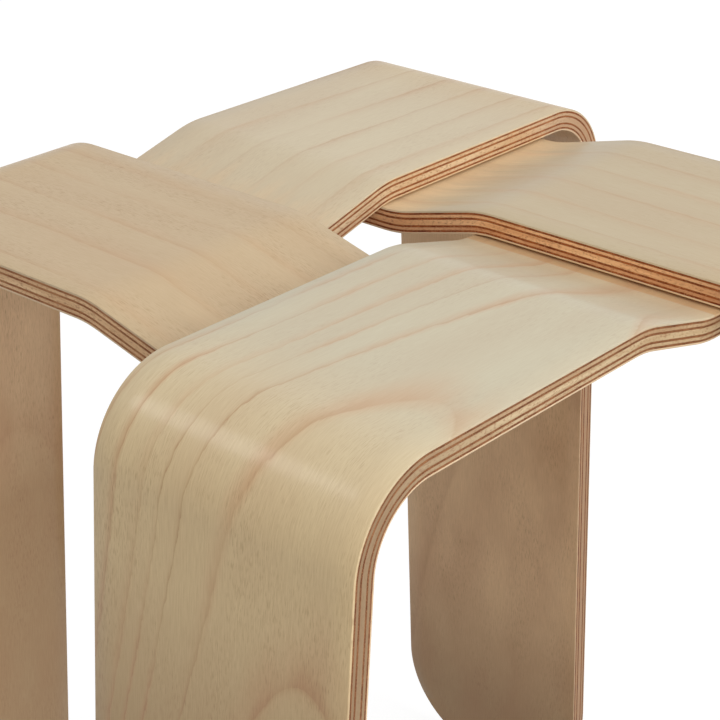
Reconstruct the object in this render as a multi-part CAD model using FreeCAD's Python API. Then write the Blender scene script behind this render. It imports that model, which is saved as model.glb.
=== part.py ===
import FreeCAD, Part
import math
import os
from FreeCAD import Vector

# A stacking stool of four bent plywood strips. Each strip is a leg, a bend, a flat seat and a low step
# down to a tab. The strips stand like a pinwheel round a small square opening, and each tab is glued
# under the seat of the next strip. Millimetres, +Z up, the floor at z = 0 and the stool's upright axis
# at x = y = 0.

# Whole stool
seat_height = 450.0
bend_span = 399.0
centre_opening = 51.3

# One strip. Its leg leans out from the bend down to the floor and ends in a rounded foot.
strip_width = 125.0
bend_radius = 39.5
leg_splay = 3.35
foot_corner_radius = 57.5

# Veneers of the laminate. The sheets with their grain along the strip are split by thin crossbands,
# with the thickest sheet in the middle and a thin face sheet on both sides.
face_veneer = 1.0
cross_veneer = 0.9
long_veneer = 1.35
core_veneer = 2.6

# Step down to the tab: a crest, a straight slope and a trough. The tab ends well inside the edge of the
# seat on it, so that its end doesn't show from beside.
step_crest_radius = 60.0
step_slope = 33.0
tab_setback = 25.0

# Lap of a tab and the seat on it. The underside of the seat starts to dip before the opening's edge,
# where it still clears the tab by the corner clearance.
lap_gap = 1.2
corner_clearance = 0.12
glue_setback = 4.0

# Sizes that follow
layers = [
    ("face_top", face_veneer),
    ("crossband_1", cross_veneer),
    ("long_ply_1", long_veneer),
    ("crossband_2", cross_veneer),
    ("core_ply", core_veneer),
    ("crossband_3", cross_veneer),
    ("long_ply_2", long_veneer),
    ("crossband_4", cross_veneer),
    ("face_under", face_veneer),
]
thickness = sum(veneer for name, veneer in layers)
step_drop = thickness + lap_gap
splay = math.radians(leg_splay)

strip_inner = -centre_opening / 2
strip_outer = strip_inner - strip_width
bend_x = -bend_span / 2 + bend_radius
bend_z = seat_height - bend_radius
tab_top = seat_height - step_drop
tab_end = -strip_outer - tab_setback

# The crest starts where its underside has dipped by the gap less the clearance at the opening's edge.
crest_under_radius = step_crest_radius - thickness
corner_dip = lap_gap - corner_clearance
step_lead = math.sqrt(crest_under_radius ** 2 - (crest_under_radius - corner_dip) ** 2)
step_start = strip_inner - step_lead
step_end = -strip_inner

# Two arcs joined by a tangent line: the run, the drop and the line's length fix the sum of the radii
# and the angle of the slope.
step_run = step_end - step_start
radii_sum = (step_run ** 2 + step_drop ** 2 - step_slope ** 2) / (2 * step_drop)
step_trough_radius = radii_sum - step_crest_radius
step_angle = math.atan2(step_run, radii_sum - step_drop) - math.atan2(step_slope, radii_sum)


def on_circle(centre, radius, angle):
    """Point of a circle in the XZ plane, with the angle counted from +X towards +Z."""
    return Vector(centre[0] + radius * math.cos(angle), 0, centre[1] + radius * math.sin(angle))


def arc(centre, radius, start, end):
    """Arc of a circle in the XZ plane from one angle to the other."""
    middle = (start + end) / 2
    points = [on_circle(centre, radius, angle) for angle in (start, middle, end)]
    return Part.Arc(*points).toShape()


def line(start, end):
    """Straight edge between two points."""
    return Part.LineSegment(start, end).toShape()


def side_line(depth):
    """Edges of the strip's side view at a depth below its outer face, from the floor to the tab's end.

    Every bend keeps one centre for all depths, so sheets at neighbouring depths nest without a gap.
    """
    up = math.pi / 2
    down = 3 * math.pi / 2
    bend_centre = (bend_x, bend_z)
    crest_centre = (step_start, seat_height - step_crest_radius)
    trough_centre = (step_end, tab_top + step_trough_radius)
    crest_radius = step_crest_radius - depth
    trough_radius = step_trough_radius + depth

    leg_top = on_circle(bend_centre, bend_radius - depth, math.pi - splay)
    leg_foot = Vector(leg_top.x - leg_top.z * math.tan(splay), 0, 0)
    seat_start = Vector(bend_x, 0, seat_height - depth)
    crest_start = Vector(step_start, 0, seat_height - depth)
    slope_start = on_circle(crest_centre, crest_radius, up - step_angle)
    slope_end = on_circle(trough_centre, trough_radius, down - step_angle)
    trough_end = Vector(step_end, 0, tab_top - depth)
    tab_tip = Vector(tab_end, 0, tab_top - depth)

    return [
        line(leg_foot, leg_top),
        arc(bend_centre, bend_radius - depth, math.pi - splay, up),
        line(seat_start, crest_start),
        arc(crest_centre, crest_radius, up, up - step_angle),
        line(slope_start, slope_end),
        arc(trough_centre, trough_radius, down - step_angle, down),
        line(trough_end, tab_tip),
    ]


def bent_sheet(depth, veneer):
    """One bent veneer as wide as the strip: the band between two depths, pulled out along Y."""
    outer = side_line(depth)
    inner = side_line(depth + veneer)
    foot = line(outer[0].Vertexes[0].Point, inner[0].Vertexes[0].Point)
    tip = line(outer[-1].Vertexes[-1].Point, inner[-1].Vertexes[-1].Point)
    outline = Part.Wire(Part.__sortEdges__(outer + inner + [foot, tip]))
    sheet = Part.Face(outline).extrude(Vector(0, strip_width, 0))
    sheet.translate(Vector(0, strip_outer, 0))
    return sheet


def foot_corner_cutter(edge, side):
    """What is sawn off at one side of the foot, through all sheets.

    edge is the strip's edge there as a Y coordinate, and side is +1 or -1, from that edge into the strip.
    The cutter stands one millimetre outside the edge and below the floor.
    """
    margin = 1.0
    high = Vector(0, edge, foot_corner_radius)
    low = Vector(0, edge + side * foot_corner_radius, 0)
    diagonal = foot_corner_radius * (1 - 1 / math.sqrt(2))
    middle = Vector(0, edge + side * diagonal, diagonal)
    low_outside = Vector(0, low.y, -margin)
    corner_outside = Vector(0, edge - side * margin, -margin)
    high_outside = Vector(0, edge - side * margin, foot_corner_radius)
    edges = [
        Part.Arc(high, middle, low).toShape(),
        line(low, low_outside),
        line(low_outside, corner_outside),
        line(corner_outside, high_outside),
        line(high_outside, high),
    ]
    return Part.Face(Part.Wire(edges)).extrude(Vector(-bend_span, 0, 0))


def glue_bed():
    """Glue between the strip's own tab and the seat on it, over the area where both are flat."""
    x_low = step_end + glue_setback
    x_high = tab_end - glue_setback
    y_low = strip_outer + glue_setback
    y_high = step_start - glue_setback
    return Part.makeBox(x_high - x_low, y_high - y_low, lap_gap, Vector(x_low, y_low, tab_top))


def turned(shape, quarter_turns):
    """Copy of a shape, turned about the stool's upright axis."""
    copy = shape.copy()
    copy.rotate(Vector(0, 0, 0), Vector(0, 0, 1), 90 * quarter_turns)
    return copy


os.makedirs("parts", exist_ok=True)

foot_corners = Part.makeCompound([
    foot_corner_cutter(strip_outer, 1),
    foot_corner_cutter(strip_inner, -1),
])
pieces = {}
depth = 0.0
for layer, veneer in layers:
    pieces[layer] = bent_sheet(depth, veneer).cut(foot_corners)
    depth += veneer
pieces["lap_glue"] = glue_bed()

for quarter_turns, side in enumerate(("left", "front", "right", "back")):
    for piece, shape in pieces.items():
        turned(shape, quarter_turns).exportStep(f"parts/{side}_{piece}.step")
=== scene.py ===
import math

import bpy
import numpy as np
from mathutils import Matrix, Vector


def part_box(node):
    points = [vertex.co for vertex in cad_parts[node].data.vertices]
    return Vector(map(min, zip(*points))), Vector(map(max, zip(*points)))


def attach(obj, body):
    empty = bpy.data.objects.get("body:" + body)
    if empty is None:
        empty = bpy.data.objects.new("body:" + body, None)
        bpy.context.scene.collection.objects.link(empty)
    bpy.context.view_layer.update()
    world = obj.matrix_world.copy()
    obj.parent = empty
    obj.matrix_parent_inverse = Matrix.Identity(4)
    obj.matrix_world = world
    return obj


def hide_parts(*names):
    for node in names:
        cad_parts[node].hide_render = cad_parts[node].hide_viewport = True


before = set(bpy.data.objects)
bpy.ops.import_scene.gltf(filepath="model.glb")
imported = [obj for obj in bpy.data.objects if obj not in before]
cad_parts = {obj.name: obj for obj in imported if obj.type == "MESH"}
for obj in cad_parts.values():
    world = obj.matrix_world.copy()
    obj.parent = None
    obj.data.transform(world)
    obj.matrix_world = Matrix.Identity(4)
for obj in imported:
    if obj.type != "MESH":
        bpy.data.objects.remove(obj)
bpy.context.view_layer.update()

# Outer and inner face veneers: the seat surface, the outside of the leg and the underside of each strip.
# Real ones are pale beech veneers with the grain along the strip, glued on, bent with the other sheets in
# one press, sanded with an eased arris and coated with satin clear lacquer.
sides = ("left", "front", "right", "back")
bend_radius = 0.0395
leg_splay = math.radians(3.35)
foot_corner_radius = 0.0575
crest_radius = 0.060
slope_length = 0.033
corner_clearance = 0.00012
arris_radius = 0.0005

strip_low, strip_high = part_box("left_face_top")
glue_low, glue_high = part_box("left_lap_glue")
seat_height = strip_high.z
foot_x = strip_low.x
strip_outer = strip_low.y
strip_inner = strip_high.y
strip_width = strip_inner - strip_outer
tab_end = strip_high.x
thickness = seat_height - glue_high.z
lap_gap = glue_high.z - glue_low.z
step_drop = thickness + lap_gap

crest_under = crest_radius - thickness
corner_dip = lap_gap - corner_clearance
crest_start = strip_inner - math.sqrt(crest_under ** 2 - (crest_under - corner_dip) ** 2)
trough_end = -strip_inner
step_run = trough_end - crest_start
radii_sum = (step_run ** 2 + step_drop ** 2 - slope_length ** 2) / (2 * step_drop)
step_angle = math.atan2(step_run, radii_sum - step_drop) - math.atan2(slope_length, radii_sum)
trough_radius = radii_sum - crest_radius

leg_rise = seat_height - bend_radius + bend_radius * math.sin(leg_splay)
bend_end_x = foot_x + leg_rise * math.tan(leg_splay) + bend_radius * math.cos(leg_splay)
bend_angle = math.pi / 2 - leg_splay
stretches = [
    leg_rise / math.cos(leg_splay),
    bend_angle * bend_radius,
    crest_start - bend_end_x,
    step_angle * crest_radius,
    slope_length,
    step_angle * trough_radius,
    tab_end - trough_end,
]
stretch_ends = np.concatenate([[0.0], np.cumsum(stretches)])
headings = np.array([bend_angle, bend_angle, 0.0, 0.0, -step_angle, -step_angle, 0.0, 0.0])

path_step = 0.0001
path_along = np.arange(0.0, stretch_ends[-1] + path_step, path_step)
path_heading = np.interp(path_along, stretch_ends, headings)
middle_heading = (path_heading[1:] + path_heading[:-1]) / 2
path_x = foot_x + np.concatenate([[0.0], np.cumsum(np.cos(middle_heading) * path_step)])
path_z = np.concatenate([[0.0], np.cumsum(np.sin(middle_heading) * path_step)])


def place_on_strip(along, depth):
    """X and Z of points of the strip's side view, at lengths along its outer face and depths below it.

    The outer face is the running sum of short steps in its heading, which is steady on the straight
    stretches and turns evenly on the arcs. The depth goes square to the heading, so every sheet bends
    round the same centres. On the leg the length is shifted so that every sheet starts on the floor.
    """
    leg_length = stretches[0]
    floor_shift = depth * math.tan(leg_splay) * np.clip(1 - along / leg_length, 0, 1)
    shifted = along + floor_shift
    heading = np.interp(shifted, stretch_ends, headings)
    x = np.interp(shifted, path_along, path_x) + depth * np.sin(heading)
    z = np.interp(shifted, path_along, path_z) - depth * np.cos(heading)
    return x, z, shifted


foot_rows = 25
rows_of_stretches = (24, 40, 12, 14, 4, 16, 12)
row_after_foot = 0.006


def stations_along():
    """Lengths along the outer face at which a sheet has a row of points.

    Rows are close on the arcs, and at the foot they follow equal turns of its corner arc.
    """
    corner_turn = np.linspace(0, math.pi / 2, foot_rows)
    foot = foot_corner_radius * (1 - np.cos(corner_turn)) / math.cos(leg_splay)
    rows = [foot]
    starts = stretch_ends.copy()
    starts[0] = foot[-1] + row_after_foot
    for start, end, count in zip(starts[:-1], stretch_ends[1:], rows_of_stretches):
        rows.append(np.linspace(start, end, count, endpoint=False))
    rows.append(stretch_ends[-1:])
    return np.concatenate(rows)


def arris_inset(depth):
    """How far the eased arris draws the cut edge in at a depth below the outer face: a quarter circle
    at both faces of the strip, and nothing between."""
    from_face = np.minimum(depth, thickness - depth)
    into_round = np.clip(arris_radius - from_face, 0, None)
    return arris_radius - np.sqrt(arris_radius ** 2 - into_round ** 2)


points_down_edge = 7
points_across_face = 11
sheet_tolerance = 1e-5
sharp_turn = math.radians(28)


def lay_sheet(side, layer, finish):
    """One bent sheet of a strip, as a closed band: a section loop carried along the strip's side view.

    The loop runs up one cut edge, across the outer side, down the other cut edge and back across the
    inner side. Its half width is that of the strip less the foot's corner arc and the eased arris. Each
    point also keeps its place in the flat sheet, as lengths along, across and down, for the grain.
    """
    names = [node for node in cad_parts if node.startswith(f"{side}_") and "glue" not in node]
    tops = sorted(seat_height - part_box(node)[1].z for node in names) + [thickness]
    node = f"{side}_{layer}"
    top = seat_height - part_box(node)[1].z
    bottom = min(depth for depth in tops if depth > top + sheet_tolerance)
    edge_depth = np.linspace(bottom, top, points_down_edge)
    across = np.linspace(-1, 1, points_across_face + 2)[1:-1]
    edge_across = np.ones(points_down_edge)
    face_depth = np.ones(points_across_face)
    loop_depth = np.concatenate([edge_depth, top * face_depth, edge_depth[::-1], bottom * face_depth])
    loop_across = np.concatenate([-edge_across, across, edge_across, across[::-1]])

    along = stations_along()[:, None]
    x, z, shifted = place_on_strip(along, loop_depth[None, :])
    into_corner = np.clip(foot_corner_radius - z, 0, foot_corner_radius)
    foot_inset = foot_corner_radius - np.sqrt(foot_corner_radius ** 2 - into_corner ** 2)
    half_width = strip_width / 2 - foot_inset - arris_inset(loop_depth)[None, :]
    y = (strip_outer + strip_inner) / 2 + loop_across[None, :] * half_width
    flat = np.stack([shifted, y - strip_outer, np.broadcast_to(loop_depth, y.shape)], axis=-1)

    quarter = sides.index(side)
    cosine = (1, 0, -1, 0)[quarter]
    sine = (0, 1, 0, -1)[quarter]
    places = np.stack([cosine * x - sine * y, sine * x + cosine * y, z], axis=-1).reshape(-1, 3)

    rows, columns = y.shape
    row, column = np.meshgrid(np.arange(rows - 1), np.arange(columns), indexing="ij")
    beside = (column + 1) % columns
    quads = np.stack([
        row * columns + column,
        row * columns + beside,
        (row + 1) * columns + beside,
        (row + 1) * columns + column,
    ], axis=-1).reshape(-1, 4)
    foot_cap = np.arange(columns)[::-1]
    tip_cap = (rows - 1) * columns + np.arange(columns)

    mesh = bpy.data.meshes.new(f"{node}_sheet")
    mesh.from_pydata(places.tolist(), [], quads.tolist() + [foot_cap.tolist(), tip_cap.tolist()])
    in_flat_sheet = mesh.attributes.new("in_flat_sheet", "FLOAT_VECTOR", "POINT")
    in_flat_sheet.data.foreach_set("vector", flat.astype(np.float32).ravel())
    mesh.shade_smooth()
    mesh.set_sharp_from_angle(angle=sharp_turn)
    mesh.materials.append(finish)
    sheet = bpy.data.objects.new(f"{node}_sheet", mesh)
    bpy.context.scene.collection.objects.link(sheet)
    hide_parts(node)
    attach(sheet, "root")


def add(tree, kind, inputs=None, **settings):
    """Adds a shader node, and sets or links its inputs by name or number."""
    node = tree.nodes.new("ShaderNode" + kind)
    for name, value in settings.items():
        setattr(node, name, value)
    for name, value in (inputs or {}).items():
        if isinstance(value, bpy.types.NodeSocket):
            tree.links.new(value, node.inputs[name])
        else:
            node.inputs[name].default_value = value
    return node


def wood_finish(name):
    """A new material, its tree, its surface and the place in the flat sheet that its grain reads."""
    material = bpy.data.materials.new(name)
    material.use_nodes = True
    tree = material.node_tree
    place = add(tree, "Attribute", attribute_name="in_flat_sheet").outputs["Vector"]
    return material, tree, tree.nodes["Principled BSDF"], place


def maths(tree, operation, *values):
    """A Math node's result for numbers or sockets."""
    return add(tree, "Math", dict(enumerate(values)), operation=operation).outputs[0]


def product(tree, first, *others):
    """The product of two or more numbers or sockets."""
    for other in others:
        first = maths(tree, "MULTIPLY", first, other)
    return first


def between(tree, value, low, high, at_low=0.0, at_high=1.0, smooth=False):
    """A number that goes from at_low to at_high as the value goes from low to high, and stops there."""
    ends = {0: value, 1: low, 2: high, 3: at_low, 4: at_high}
    kind = "SMOOTHSTEP" if smooth else "LINEAR"
    return add(tree, "MapRange", ends, interpolation_type=kind).outputs[0]


def colour_mix(tree, share, first, second):
    """Colour between two colours."""
    return add(tree, "Mix", {0: share, 6: first, 7: second}, data_type="RGBA").outputs[2]


def stretched_noise(tree, place, scale, offset, detail=2.0, roughness=0.5):
    """Noise drawn out along the grain: the place is scaled per axis and shifted before it is read."""
    moved = add(tree, "Mapping", {"Vector": place, "Location": offset, "Scale": scale})
    noise = {"Vector": moved.outputs[0], "Scale": 1.0, "Detail": detail, "Roughness": roughness}
    return add(tree, "TexNoise", noise).outputs


def patches(tree, place, scale, offset, levels, detail=2.0, roughness=0.5):
    """A share from 0 to 1 that comes and goes in patches: stretched noise between two of its levels."""
    noise = stretched_noise(tree, place, scale, offset, detail, roughness)["Fac"]
    return between(tree, noise, *levels)


def raise_grain(tree, surface, height, strength, distance):
    """Gives the surface a slight relief from a height."""
    bump = add(tree, "Bump", {"Strength": strength, "Distance": distance, "Height": height})
    tree.links.new(bump.outputs[0], surface.inputs["Normal"])


def linear(red, green, blue):
    """A colour as it shows on a screen, 0 to 255, turned to linear light."""
    shown = np.array([red, green, blue]) / 255
    light = np.where(shown <= 0.04045, shown / 12.92, ((shown + 0.055) / 1.055) ** 2.4)
    return (*light.tolist(), 1.0)


ring_wood = linear(172, 118, 78)
band_wood = linear(206, 160, 120)
fleck_wood = linear(150, 104, 64)
# Painted shade: the colour that a leg darkens to towards its foot.
painted_foot_shade_colour = linear(166, 134, 92)
# Painted warm bounce light on the left strip's slope, thrown off the next seat's edge.
painted_slope_glow = linear(238, 214, 174)
# The face veneer's cut edge: its pale long grain, painted paler still as a highlight along the arris.
face_cut_with_arris_highlight = linear(228, 206, 172)

# Places and lengths along the strip, in metres, at which the look of a face changes.
leg_to_seat = (0.40, 0.52)
rings_fade_on_step = (0.59, 0.64)
# Painted warm bounce light covers the slope between these places.
slope_glow_span = (0.630, 0.652)
# Painted shade darkens the leg over this length towards the foot.
foot_darkens_over = 0.10
rings_stretch_from = 0.62
rings_stretch_softly = 0.03
sway_middle = 0.54
sway_length = 0.4
crowded_travel = (0.253, 0.428)
ring_jitter = 0.0026

# How strong the marks of the rings are, and where they lie, in parts of a ring from its line on.
rings_stretch_by = 0.9
rings_left_on_step = 0.4
weakest_ring = 0.5
ring_line_levels = ((0.035, 0.65), (0.08, 0.25), (0.2, 0.08), (0.4, 0.0), (0.98, 0.0))
ring_end_level = 0.9
band_outside = 0.32
band_inside = 0.9

# Depths from the face at which its cut edge starts, in metres, then levels of the fibre noise and the
# roughness that they give.
cut_edge_depth = (0.00015, 0.00035)
fibre_levels = (0.35, 0.70)
gloss_levels = (0.3, 0.7)
roughness_ends = (0.44, 0.54)


def nudged_across(tree, place, start, scale, offset, reach):
    """The start, moved to and fro across the grain by half the reach at most, as noise says."""
    noise = stretched_noise(tree, place, scale, offset)["Color"]
    swing = add(tree, "VectorMath", {0: noise, 1: (-0.5, -0.5, -0.5)}, operation="ADD").outputs[0]
    nudge = {0: swing, 1: (0, reach, 0), 2: start}
    return add(tree, "VectorMath", nudge, operation="MULTIPLY_ADD").outputs[0]


def ring_count(tree, along, across, figure):
    """Number of growth rings from the apex of the arches to a place on the veneer.

    It is the length along plus a parabola of the distance from the heart, over the length of a ring.
    Its contours are nested arches where the cut runs near the heart and long lines away from it. The
    heart sways in a sine along the sheet, some rings crowd together, and they stretch on the step.
    """
    from_apex = maths(tree, "SUBTRACT", along, figure["apex_along"])
    sway_turn = product(tree, maths(tree, "SUBTRACT", along, sway_middle), math.tau / sway_length)
    sway = product(tree, maths(tree, "SINE", sway_turn), figure["sway"])
    from_heart = maths(tree, "SUBTRACT", across, figure["heart_across"])
    from_heart = maths(tree, "SUBTRACT", from_heart, sway)
    parabola = maths(tree, "DIVIDE", product(tree, from_heart, from_heart), figure["arch_spread"])
    past_step = maths(tree, "SUBTRACT", along, rings_stretch_from)
    past_step = maths(tree, "SMOOTH_MAX", past_step, 0.0, rings_stretch_softly)
    stretched = maths(tree, "SUBTRACT", from_apex, product(tree, past_step, rings_stretch_by))
    travel = maths(tree, "ADD", stretched, parabola)
    crowded = between(tree, travel, *crowded_travel, 0.0, figure["crowding"])
    return maths(tree, "ADD", maths(tree, "DIVIDE", travel, figure["ring_length"]), crowded)


def ring_marks(tree, place, rings, seed):
    """Shares of the dark line and of the pinker band of the growth rings.

    Each ring starts with a sharp line that fades over its first part, stronger on some rings than on
    others and lost in patches. The band lies on both sides of the line, here and there.
    """
    ring_part = maths(tree, "FRACT", rings)
    ring_number = maths(tree, "FLOOR", rings)
    ring_strength = add(tree, "TexWhiteNoise", {"W": ring_number}, noise_dimensions="1D").outputs["Value"]
    strength = maths(tree, "MULTIPLY_ADD", ring_strength, 1 - weakest_ring, weakest_ring)
    ramp = add(tree, "ValToRGB", {0: ring_part})
    ramp.color_ramp.elements[0].color = (1, 1, 1, 1)
    ramp.color_ramp.elements[1].color = (ring_end_level, ring_end_level, ring_end_level, 1)
    for position, level in ring_line_levels:
        ramp.color_ramp.elements.new(position).color = (level, level, level, 1)
    kept = patches(tree, place, (9, 60, 0), (seed + 3, 0, 0), levels=(0.22, 0.62))
    line = product(tree, ramp.outputs["Color"], strength, kept)

    outside = between(tree, ring_part, 0.0, band_outside, 1.0, 0.0, smooth=True)
    inside = between(tree, ring_part, band_inside, 1.0)
    blush = patches(tree, place, (11, 30, 0), (seed + 7, 0, 0), levels=(0.40, 0.62), detail=3.0)
    band = product(tree, maths(tree, "MAXIMUM", outside, inside), blush)
    return line, band


def ground_wood(tree, place, along, seat_share, figure, seed):
    """Colour of the veneer before its rings.

    It is warmer on the leg than on the seat, darker towards the foot, paler on the left strip's slope,
    and changed beside the next seat's edge. All of this is painted light: the seat is whiter for the
    sheen on it and the leg warmer for the light on it, the foot darker as painted shade, the slope paler
    as painted warm bounce light, and by the edge lies a painted shadow of it on the left strip and
    painted warm light thrown off it on the others.
    """
    # The leg's warmer colour and the seat's whiter one are painted light: warmer light on the leg, and
    # the lacquer's sheen on the seat.
    wood = colour_mix(tree, seat_share, figure["leg_colour_with_painted_light"], figure["seat_colour_with_painted_sheen"])
    # Painted shade: darker towards the foot.
    foot_end = figure["foot_along"] - foot_darkens_over
    foot = between(tree, along, figure["foot_along"], foot_end, 0.0, figure["foot_shade"])
    wood = colour_mix(tree, foot, wood, painted_foot_shade_colour)
    # Painted warm bounce light on the left strip's slope.
    slope = between(tree, along, *slope_glow_span, 0.0, figure["slope_glow_share"])
    wood = colour_mix(tree, slope, wood, painted_slope_glow)
    # Painted light by the next seat's edge, in streaks: a shadow band that the edge casts on the left
    # strip, and warm light thrown off it on the others.
    streak = stretched_noise(tree, place, (7, 130, 0), (seed, 0, 0), detail=3.0, roughness=0.6)["Fac"]
    streaky_along = maths(tree, "MULTIPLY_ADD", streak, figure["corner_streaks"], along)
    corner = between(tree, streaky_along, figure["corner_along"], figure["corner_full"], 0.0,
                     figure["corner_shadow_and_glow_share"], smooth=True)
    return colour_mix(tree, corner, wood, figure["painted_corner_shadow_and_glow"])


def face_finish(name, figure, seed):
    """Lacquered face veneer.

    On the ground colour lie slow changes of tone, the growth rings, fibre streaks and short dark
    flecks, all drawn out along the grain. The veneer's own cut edge is paler than its face: partly its
    pale long grain, and partly a painted highlight along the eased arris.
    """
    material, tree, surface, place = wood_finish(name)
    swung = nudged_across(tree, place, place, (5, 14, 0), (seed, 0, 0), figure["wander"])
    shaken = nudged_across(tree, place, swung, (110, 500, 0), (0, seed, 0), ring_jitter)
    shaken_parts = add(tree, "SeparateXYZ", {0: shaken}).outputs
    along = shaken_parts[0]
    seat_share = between(tree, along, *leg_to_seat, smooth=True)
    wood = ground_wood(tree, place, along, seat_share, figure, seed)
    tone_scale = (figure["tone_run"], 28, 0)
    tone = patches(tree, place, tone_scale, (0, seed + 5, 0), levels=(0.3, 0.7), detail=3.0)
    wood = colour_mix(tree, product(tree, tone, figure["tones"]), wood, ring_wood)

    rings = ring_count(tree, along, shaken_parts[1], figure)
    line, band = ring_marks(tree, place, rings, seed)
    ring_level = between(tree, seat_share, 0.0, 1.0, figure["leg_rings"], figure["seat_rings"])
    step_level = between(tree, along, *rings_fade_on_step, 1.0, rings_left_on_step)
    line_share = product(tree, line, product(tree, ring_level, step_level))
    wood = colour_mix(tree, product(tree, band, figure["bands"]), wood, band_wood)
    wood = colour_mix(tree, line_share, wood, ring_wood)

    fibre = stretched_noise(tree, place, (100, 1700, 0), (seed, seed, 0), detail=3.0,
                            roughness=0.6)["Fac"]
    fibre_level = between(tree, seat_share, 0.0, 1.0, figure["leg_fibres"], figure["seat_fibres"])
    fibre_share = product(tree, between(tree, fibre, *fibre_levels), fibre_level)
    wood = colour_mix(tree, fibre_share, wood, fleck_wood)
    fleck = patches(tree, place, (230, 2900, 0), (seed, 2 * seed, 0), levels=(0.55, 0.67), detail=1.0)
    fleck_cover = patches(tree, place, (14, 45, 0), (2 * seed, seed, 0), levels=(0.35, 0.65), detail=1.0)
    fleck_level = between(tree, seat_share, 0.0, 1.0, figure["leg_flecks"], figure["seat_flecks"])
    fleck_share = product(tree, fleck, fleck_cover, fleck_level)
    wood = colour_mix(tree, fleck_share, wood, fleck_wood)

    # The cut edge: pale long grain, with a painted highlight by the eased arris.
    depth = add(tree, "SeparateXYZ", {0: place}).outputs[2]
    from_face = maths(tree, "MINIMUM", depth, maths(tree, "SUBTRACT", thickness, depth))
    cut_highlight_share = product(tree, between(tree, from_face, *cut_edge_depth), figure["cut_highlight_share"])
    wood = colour_mix(tree, cut_highlight_share, wood, face_cut_with_arris_highlight)
    tree.links.new(wood, surface.inputs["Base Color"])
    tree.links.new(between(tree, fibre, *gloss_levels, *roughness_ends), surface.inputs["Roughness"])
    surface.inputs["Specular IOR Level"].default_value = 0.25
    surface.inputs["Coat Weight"].default_value = 0.35
    surface.inputs["Coat Roughness"].default_value = 0.2
    relief = maths(tree, "SUBTRACT", fibre, fleck_share)
    raise_grain(tree, surface, relief, strength=0.35, distance=0.00004)
    return material


# A figure is how the veneer was cut and what it looks like: lengths in metres, and shares from 0 to 1.
# The left strip was cut near the heart and shows arches, the others away from it and show long lines.
# A figure also holds painted light: its leg and seat colours stand for the light on each, the foot shade
# is painted shade, the slope glow painted bounce light, and the corner colour a painted shadow or painted
# warm light by the next seat's edge.
outer_figure = {
    "heart_across": -0.30, "apex_along": 0.111, "arch_spread": 0.020, "ring_length": 0.814,
    "crowding": 0.0, "sway": 0.0, "wander": 0.008,
    "leg_rings": 0.75, "seat_rings": 0.32, "bands": 0.20, "tones": 0.16, "tone_run": 6,
    "leg_fibres": 0.20, "seat_fibres": 0.08, "leg_flecks": 0.42, "seat_flecks": 0.15,
    "foot_along": 0.385, "foot_shade": 0.6, "slope_glow_share": 0.0,
    "painted_corner_shadow_and_glow": linear(240, 206, 160), "corner_shadow_and_glow_share": 0.0, "corner_along": 0.650,
    "corner_full": 0.680, "corner_streaks": 0.05, "cut_highlight_share": 0.2,
}
outer_changes = {
    "left": {
        "leg_colour_with_painted_light": linear(226, 201, 154), "seat_colour_with_painted_sheen": linear(208, 199, 172),
        "heart_across": 0.022, "apex_along": 0.367, "arch_spread": 0.018, "ring_length": 0.136,
        "crowding": 0.88, "sway": 0.005, "wander": 0.005, "leg_rings": 0.76, "seat_rings": 0.38,
        # Here the corner colour is a painted shadow cast by the front strip's edge, and the slope glow is
        # painted bounce light.
        "bands": 0.48, "foot_shade": 0.9, "slope_glow_share": 0.42, "painted_corner_shadow_and_glow": linear(218, 183, 138),
        "corner_shadow_and_glow_share": 0.95, "corner_along": 0.6546, "corner_full": 0.6560, "corner_streaks": 0.0,
        "cut_highlight_share": 0.15,
    },
    "front": {
        "leg_colour_with_painted_light": linear(214, 186, 142), "seat_colour_with_painted_sheen": linear(201, 184, 151),
        # Here the corner colour is painted warm light thrown off the right strip's edge.
        "painted_corner_shadow_and_glow": linear(250, 223, 180), "corner_shadow_and_glow_share": 0.9, "corner_along": 0.645,
        "corner_full": 0.684, "corner_streaks": 0.04,
    },
    "right": {
        "leg_colour_with_painted_light": linear(216, 188, 142), "seat_colour_with_painted_sheen": linear(215, 200, 169),
        "apex_along": 0.116, "wander": 0.006, "seat_rings": 0.38, "bands": 0.25, "seat_flecks": 0.2,
        "corner_shadow_and_glow_share": 0.3, "cut_highlight_share": 0.5,
    },
    "back": {
        "leg_colour_with_painted_light": linear(210, 182, 136), "seat_colour_with_painted_sheen": linear(205, 182, 145),
        "apex_along": -0.062, "ring_length": 0.9, "wander": 0.010, "seat_rings": 0.28, "bands": 0.18,
        "seat_fibres": 0.12, "seat_flecks": 0.45, "corner_shadow_and_glow_share": 0.2, "cut_highlight_share": 0.1,
    },
}
# As on the outer faces, the leg and seat colours and the foot shade here are painted light and shade.
inner_figure = dict(outer_figure, **{
    "leg_colour_with_painted_light": linear(250, 212, 165), "seat_colour_with_painted_sheen": linear(238, 208, 164),
    "heart_across": 0.09, "apex_along": 0.30, "arch_spread": 0.030, "ring_length": 0.35,
    "sway": 0.005, "wander": 0.030, "leg_rings": 0.30, "seat_rings": 0.22, "bands": 0.40,
    "tones": 0.36, "tone_run": 14, "leg_fibres": 0.18, "seat_fibres": 0.10, "leg_flecks": 0.40,
    "seat_flecks": 0.25, "foot_along": 0.36, "foot_shade": 0.75, "cut_highlight_share": 0.40,
})
inner_changes = {
    "left": {},
    "front": {},
    "right": {"foot_along": 0.14},
    "back": {"leg_colour_with_painted_light": linear(255, 222, 178), "tones": 0.26},
}
for number, side in enumerate(sides):
    seed = 3.7 * number
    outer_face = face_finish(f"{side} outer face beech", dict(outer_figure, **outer_changes[side]), seed)
    inner_face = face_finish(f"{side} inner face beech", dict(inner_figure, **inner_changes[side]),
                             seed + 20)
    lay_sheet(side, "face_top", outer_face)
    lay_sheet(side, "face_under", inner_face)

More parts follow.
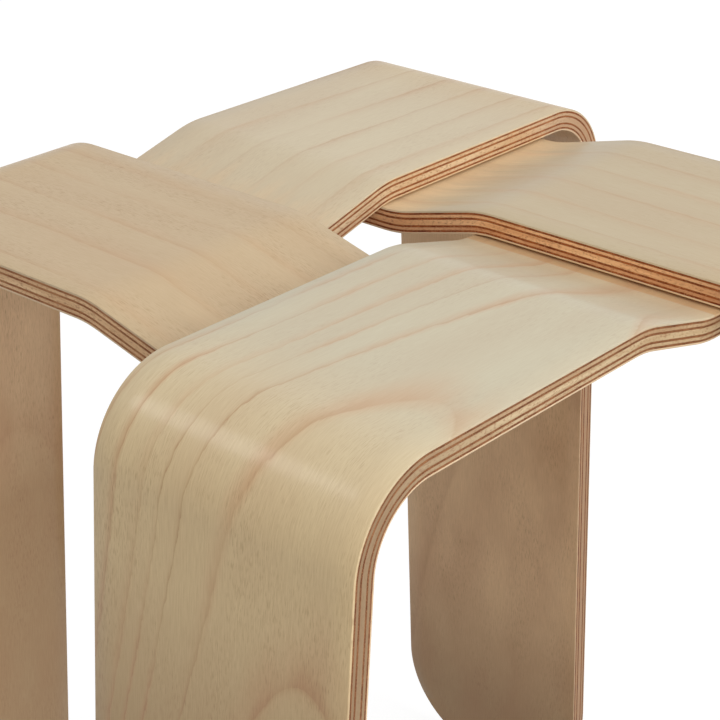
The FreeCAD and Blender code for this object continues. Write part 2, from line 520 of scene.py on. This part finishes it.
# Crossbands: four thin sheets of each strip with their grain across it.
# Real ones are beech veneers whose end grain meets the long cut edges, where it soaks up lacquer and
# shows as dark red-brown lines. They are glued between the sheets with the grain along the strip.
crossbands = ("crossband_1", "crossband_2", "crossband_3", "crossband_4")
# The colours differ from strip to strip partly by the sheets' own tone and partly as painted light: the
# right strip's edge is paler for the bounce light from the seat below it, and the front strip's more
# orange for the warm light thrown on it from the left strip.
end_grains = {
    "left": (linear(104, 56, 26), linear(152, 100, 62)),
    "front": (linear(106, 42, 8), linear(164, 88, 42)),
    "right": (linear(120, 58, 20), linear(174, 110, 64)),
    "back": (linear(134, 76, 42), linear(180, 124, 80)),
}
end_grain_pale = linear(204, 150, 104)
pore_strength = 0.5


def crossband_finish(name, dark_wood, warm_wood, seed):
    """End grain at the cut edge: dark, with warmer and paler stretches along it and fine pores."""
    material, tree, surface, place = wood_finish(name)
    warm_share = patches(tree, place, (110, 8, 700), (seed, 0, 0), levels=(0.40, 0.64), detail=4.0,
                         roughness=0.65)
    wood = colour_mix(tree, warm_share, dark_wood, warm_wood)
    pore = stretched_noise(tree, place, (1400, 60, 2600), (0, seed, 0), detail=1.0)["Fac"]
    pore_share = product(tree, between(tree, pore, 0.5, 0.75), pore_strength)
    wood = colour_mix(tree, pore_share, wood, end_grain_pale)
    tree.links.new(wood, surface.inputs["Base Color"])
    surface.inputs["Roughness"].default_value = 0.6
    surface.inputs["Specular IOR Level"].default_value = 0.25
    raise_grain(tree, surface, pore, strength=0.4, distance=0.00005)
    return material


for number, side in enumerate(sides):
    for layer_number, layer in enumerate(crossbands):
        seed = 5.3 * number + 1.9 * layer_number
        finish = crossband_finish(f"{side} {layer} beech", *end_grains[side], seed)
        lay_sheet(side, layer, finish)

# Long plies and core: three thicker sheets of each strip with their grain along it.
# Real ones are pale tan beech veneers, whose long grain shows at the cut edges as fine dashes and
# specks, and which the crossbands' stain creeps into. They carry the strip's stiffness.
long_plies = ("long_ply_1", "core_ply", "long_ply_2")
# As with the crossbands, the pale and tan colours differ between strips partly as painted light, and the
# leg colour is painted shade, which the edge takes on the leg.
long_woods = {
    "left": {"pale": linear(216, 192, 152), "tan": linear(194, 166, 126), "leg": linear(142, 110, 76)},
    "front": {"pale": linear(246, 196, 144), "tan": linear(220, 162, 110), "leg": linear(170, 112, 72)},
    "right": {"pale": linear(232, 206, 168), "tan": linear(214, 180, 140), "leg": linear(193, 150, 110)},
    "back": {"pale": linear(236, 198, 150), "tan": linear(212, 168, 120), "leg": linear(178, 130, 88)},
}
soaked_shares = {
    "left": (0.30, 0.0, 0.05),
    "front": (0.05, 0.0, 0.36),
    "right": (0.0, 0.0, 0.12),
    "back": (0.15, 0.0, 0.15),
}
dash_wood = linear(150, 88, 46)
dash_strength = 0.62
stain_reach = 0.00026
stain_at_line = 0.75
least_creep = 0.4
# Painted shade: the cut edge darkens between these places, down the bend towards the leg.
leg_shade_span = (0.52, 0.44)
painted_leg_shade = 0.8


def long_ply_finish(name, woods, stain_wood, soaked, top, bottom, seed):
    """Long grain at the cut edge: pale tan with slow changes, fine dashes along it and dark specks.

    Near the glue lines, at the sheet's top and bottom depth, it takes on the crossbands' stain, more in
    some stretches than in others. A sheet that soaked up lacquer has some of the stain all over. Down the
    bend and on the leg it is darkened as painted shade.
    """
    material, tree, surface, place = wood_finish(name)
    tone = patches(tree, place, (30, 20, 500), (seed, 0, 0), levels=(0.35, 0.65))
    wood = colour_mix(tree, tone, woods["pale"], woods["tan"])
    dash = stretched_noise(tree, place, (620, 200, 1700), (0, seed, 0), roughness=0.6)["Fac"]
    dash_share = product(tree, between(tree, dash, 0.50, 0.70), dash_strength)
    wood = colour_mix(tree, dash_share, wood, dash_wood)
    wood = colour_mix(tree, soaked, wood, stain_wood)

    parts = add(tree, "SeparateXYZ", {0: place}).outputs
    from_top = maths(tree, "SUBTRACT", parts[2], top)
    from_bottom = maths(tree, "SUBTRACT", bottom, parts[2])
    from_line = maths(tree, "MINIMUM", from_top, from_bottom)
    patch = patches(tree, place, (160, 20, 600), (seed, 3, 0), levels=(0.35, 0.65))
    creep = maths(tree, "MULTIPLY_ADD", patch, 1 - least_creep, least_creep)
    stain_share = product(tree, between(tree, from_line, stain_reach, 0.0, 0.0, stain_at_line), creep)
    wood = colour_mix(tree, stain_share, wood, stain_wood)
    # Painted shade on the cut edge of the leg.
    leg_shade_share = between(tree, parts[0], *leg_shade_span, 0.0, painted_leg_shade)
    wood = colour_mix(tree, leg_shade_share, wood, woods["leg"])
    tree.links.new(wood, surface.inputs["Base Color"])
    surface.inputs["Roughness"].default_value = 0.45
    raise_grain(tree, surface, dash, strength=0.3, distance=0.00005)
    return material


for number, side in enumerate(sides):
    stain_wood = end_grains[side][1]
    for layer_number, layer in enumerate(long_plies):
        top = seat_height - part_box(f"{side}_{layer}")[1].z
        bottom = seat_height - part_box(f"{side}_{crossbands[layer_number + 1]}")[1].z
        soaked = soaked_shares[side][layer_number]
        seed = 4.1 * number + 2.3 * layer_number
        finish = long_ply_finish(f"{side} {layer} beech", long_woods[side], stain_wood, soaked, top,
                                 bottom, seed)
        lay_sheet(side, layer, finish)

# Lap glue: the glue between each tab and the seat on it.
# Real glue sets dark amber in a flat bed, pressed between the two strips and set back from their edges.
glue_dark = linear(52, 32, 18)
glue_amber = linear(96, 60, 30)
glue_finish = bpy.data.materials.new("set wood glue")
glue_finish.use_nodes = True
glue_tree = glue_finish.node_tree
glue_place = add(glue_tree, "TexCoord").outputs["Object"]
glue_cloud = add(glue_tree, "TexNoise", {"Vector": glue_place, "Scale": 160.0, "Detail": 3.0})
glue_colour = colour_mix(glue_tree, glue_cloud.outputs["Fac"], glue_dark, glue_amber)
glue_surface = glue_tree.nodes["Principled BSDF"]
glue_tree.links.new(glue_colour, glue_surface.inputs["Base Color"])
glue_surface.inputs["Roughness"].default_value = 0.35
for side in sides:
    for glue_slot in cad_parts[f"{side}_lap_glue"].material_slots:
        glue_slot.material = glue_finish

# Floor: a plain white studio floor that the stool stands on, and white all round it.
# The floor is grey, so that the stool shades it softly, and a glow that only the camera sees, straight
# or mirrored, lifts it to white.
floor_half = 6.0
floor_grey = (0.25, 0.25, 0.25, 1.0)
floor_glow = 0.83
studio_fill = 0.45
studio_white = 1.0


def seen_share(tree):
    """1 where the camera sees a surface, directly, mirrored or through glass, and 0 for other light."""
    path = add(tree, "LightPath").outputs
    seen_or_mirrored = maths(tree, "MAXIMUM", path["Is Camera Ray"], path["Is Glossy Ray"])
    return maths(tree, "MAXIMUM", seen_or_mirrored, path["Is Transmission Ray"])


floor_mesh = bpy.data.meshes.new("studio_floor")
floor_corners = [
    (-floor_half, -floor_half, 0),
    (floor_half, -floor_half, 0),
    (floor_half, floor_half, 0),
    (-floor_half, floor_half, 0),
]
floor_mesh.from_pydata(floor_corners, [], [(0, 1, 2, 3)])
studio_floor = bpy.data.objects.new("studio_floor", floor_mesh)
bpy.context.scene.collection.objects.link(studio_floor)
floor_finish = bpy.data.materials.new("white studio floor")
floor_finish.use_nodes = True
floor_tree = floor_finish.node_tree
floor_tree.nodes.clear()
floor_shade = add(floor_tree, "BsdfDiffuse", {"Color": floor_grey})
floor_light = add(floor_tree, "Emission", {"Color": (1, 1, 1, 1), "Strength": floor_glow})
light_seen = add(floor_tree, "MixShader", {0: seen_share(floor_tree), 2: floor_light.outputs[0]})
floor_sum = add(floor_tree, "AddShader", {0: floor_shade.outputs[0], 1: light_seen.outputs[0]})
add(floor_tree, "OutputMaterial", {"Surface": floor_sum.outputs[0]})
floor_mesh.materials.append(floor_finish)

studio = bpy.data.worlds.new("white studio")
bpy.context.scene.world = studio
studio.use_nodes = True
studio_tree = studio.node_tree
studio_tree.nodes.clear()
studio_level = between(studio_tree, seen_share(studio_tree), 0.0, 1.0, studio_fill, studio_white)
studio_light = add(studio_tree, "Background", {"Strength": studio_level})
add(studio_tree, "OutputWorld", {"Surface": studio_light.outputs[0]})

# Lamps: soft boxes round the stool. One is above it, two stand behind it on the right, three lower ones
# in front light the legs, and a small one behind on the left draws the highlight on the near bend. Only
# that one is mirrored in the lacquer.
seat_middle = Vector((0, 0, 0.40))
mirrored_box = "back_left_box"

# Azimuth from the back towards the right and elevation, in degrees, then distance and width in metres
# and power in watts.
soft_boxes = {
    "top_box": (0, 88, 2.6, 2.2, 13.0),
    "right_box": (90, 20, 2.6, 2.4, 12.9),
    "back_right_box": (50, 20, 2.6, 2.4, 9.2),
    "near_left_box": (-130, 20, 1.3, 1.0, 4.2),
    "near_front_box": (180, 30, 1.3, 1.0, 6.5),
    "low_front_box": (180, 8, 2.6, 1.8, 17.7),
    mirrored_box: (-38, 42, 2.6, 0.6, 6.1),
}
for name, (azimuth, elevation, distance, width, power) in soft_boxes.items():
    lamp = bpy.data.lights.new(name, "AREA")
    lamp.shape = "SQUARE"
    lamp.size = width
    lamp.energy = power
    lamp_object = bpy.data.objects.new(name, lamp)
    bpy.context.scene.collection.objects.link(lamp_object)
    level_part = math.cos(math.radians(elevation))
    away = Vector((
        math.sin(math.radians(azimuth)) * level_part,
        math.cos(math.radians(azimuth)) * level_part,
        math.sin(math.radians(elevation)),
    ))
    lamp_object.location = seat_middle + distance * away
    lamp_object.rotation_euler = away.to_track_quat("Z", "Y").to_euler()
    lamp_object.visible_camera = False
    lamp_object.visible_glossy = name == mirrored_box

# Camera: it looks down on the seat from the front left, with the left strip's leg nearest to it.
# It is aimed a little to the left of the seat's middle and below it, as it sees them.
camera_azimuth = math.radians(-49.65)
camera_elevation = math.radians(25.32)
camera_roll = math.radians(0.41)
camera_distance = 0.8586
focal_length = 99.3
sensor_width = 36.0
aim_right = -0.01272
aim_up = -0.06462
level_part = math.cos(camera_elevation)
backwards = Vector((
    math.sin(camera_azimuth) * level_part,
    -math.cos(camera_azimuth) * level_part,
    math.sin(camera_elevation),
))
to_right = Vector((math.cos(camera_azimuth), math.sin(camera_azimuth), 0))
upwards = backwards.cross(to_right)
aim = Vector((0, 0, seat_height)) + aim_right * to_right + aim_up * upwards
rolled_right = math.cos(camera_roll) * to_right + math.sin(camera_roll) * upwards
rolled_up = math.cos(camera_roll) * upwards - math.sin(camera_roll) * to_right
camera_lens = bpy.data.cameras.new("camera")
camera_lens.lens = focal_length
camera_lens.sensor_width = sensor_width
camera = bpy.data.objects.new("camera", camera_lens)
bpy.context.scene.collection.objects.link(camera)
camera_turn = Matrix((rolled_right, rolled_up, backwards)).transposed()
camera.matrix_world = Matrix.Translation(aim + camera_distance * backwards) @ camera_turn.to_4x4()
bpy.context.scene.camera = camera
bpy.context.scene.view_settings.view_transform = "Standard"
